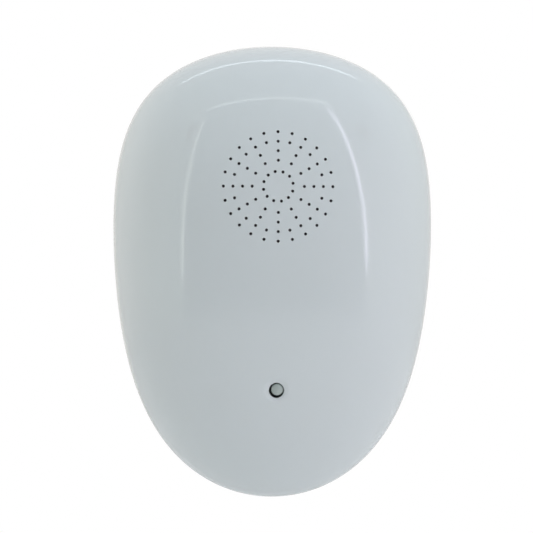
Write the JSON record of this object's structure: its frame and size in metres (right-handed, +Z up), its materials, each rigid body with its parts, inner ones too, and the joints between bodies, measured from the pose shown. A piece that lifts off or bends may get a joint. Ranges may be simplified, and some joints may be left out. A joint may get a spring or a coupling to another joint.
{
  "type": "ultrasonic pest repeller",
  "caption": "Egg-shaped plug-in ultrasonic pest repeller with a domed front, a round grille of small sound holes, an indicator light and a flat two-pin plug on its back.",
  "frame": {"origin": "centre of the plug's engagement face, midway between the two pins", "axes": "+Y into the wall socket along the pins, +Z up the wall towards the crown of the housing, +X to the right seen from the front; the domed front faces -Y"},
  "size_m": [0.0812, 0.077, 0.115],
  "materials": {
    "housing_white": "glossy moulded ABS, cool white",
    "housing_rear_white": "satin moulded ABS, cool white",
    "label_blank": "matt silver-grey film, blank",
    "insert_white": "satin moulded plastic",
    "pin_nickel": "bright nickel plate on brass",
    "sleeve_black": "satin black insulation",
    "screw_zinc": "zinc plated",
    "cloth_black": "fine woven cloth",
    "gasket_foam": "closed-cell foam",
    "speaker_shell": "matt black moulding",
    "cone_aluminium": "thin spun sheet",
    "piezo_brass": "rolled brass",
    "piezo_ceramic": "silvered ceramic",
    "tinned_metal": "tinned",
    "retainer_natural": "natural nylon",
    "wire_red": "PVC insulation",
    "wire_black": "PVC insulation",
    "board_laminate": "phenolic laminate",
    "solder": "reflowed solder",
    "led_epoxy": "tinted diffused epoxy",
    "spacer_white": "nylon",
    "capacitor_yellow": "moulded box",
    "capacitor_black": "shrink sleeve on aluminium",
    "capacitor_green": "shrink sleeve on aluminium",
    "ceramic_orange": "dipped",
    "resistor_green": "lacquered",
    "resistor_tan": "lacquered",
    "diode_black": "moulded epoxy",
    "chip_black": "moulded epoxy",
    "ferrite": "ground ferrite",
    "bobbin_natural": "moulded nylon",
    "winding_tape": "polyester tape over copper wire",
    "wire_brown": "PVC insulation",
    "wire_blue": "PVC insulation",
    "tinned_copper": "tinned"
  },
  "bodies": {
    "root": {"front_cover": "housing_white", "rear_cover": "housing_rear_white", "rating_label": "label_blank", "plug_insert": "insert_white", "live_pin": "pin_nickel", "neutral_pin": "pin_nickel", "live_pin_sleeve": "sleeve_black", "neutral_pin_sleeve": "sleeve_black", "insert_screws": "screw_zinc", "housing_screws": "screw_zinc", "grille_cloth": "cloth_black", "speaker_gasket": "gasket_foam", "speaker_frame": "speaker_shell", "speaker_cone": "cone_aluminium", "piezo_plate": "piezo_brass", "piezo_ceramic": "piezo_ceramic", "speaker_terminals": "tinned_metal", "speaker_retainer": "retainer_natural", "retainer_screws": "screw_zinc", "speaker_wire_red": "wire_red", "speaker_wire_black": "wire_black", "circuit_board": "board_laminate", "board_screws": "screw_zinc", "solder_joints": "solder", "led_lens": "led_epoxy", "led_leads": "tinned_metal", "led_spacer": "spacer_white", "suppression_capacitor": "capacitor_yellow", "reservoir_capacitor": "capacitor_black", "supply_capacitor": "capacitor_green", "disc_capacitor": "ceramic_orange", "fuse_resistor": "resistor_green", "resistors": "resistor_tan", "rectifier_diodes": "diode_black", "component_leads": "tinned_metal", "controller_chip": "chip_black", "controller_legs": "tinned_metal", "driver_transistors": "chip_black", "transistor_legs": "tinned_metal", "transformer_core": "ferrite", "transformer_bobbin": "bobbin_natural", "transformer_winding": "winding_tape", "live_wire": "wire_brown", "neutral_wire": "wire_blue", "wire_ends": "tinned_copper"}
  },
  "joints": []
}
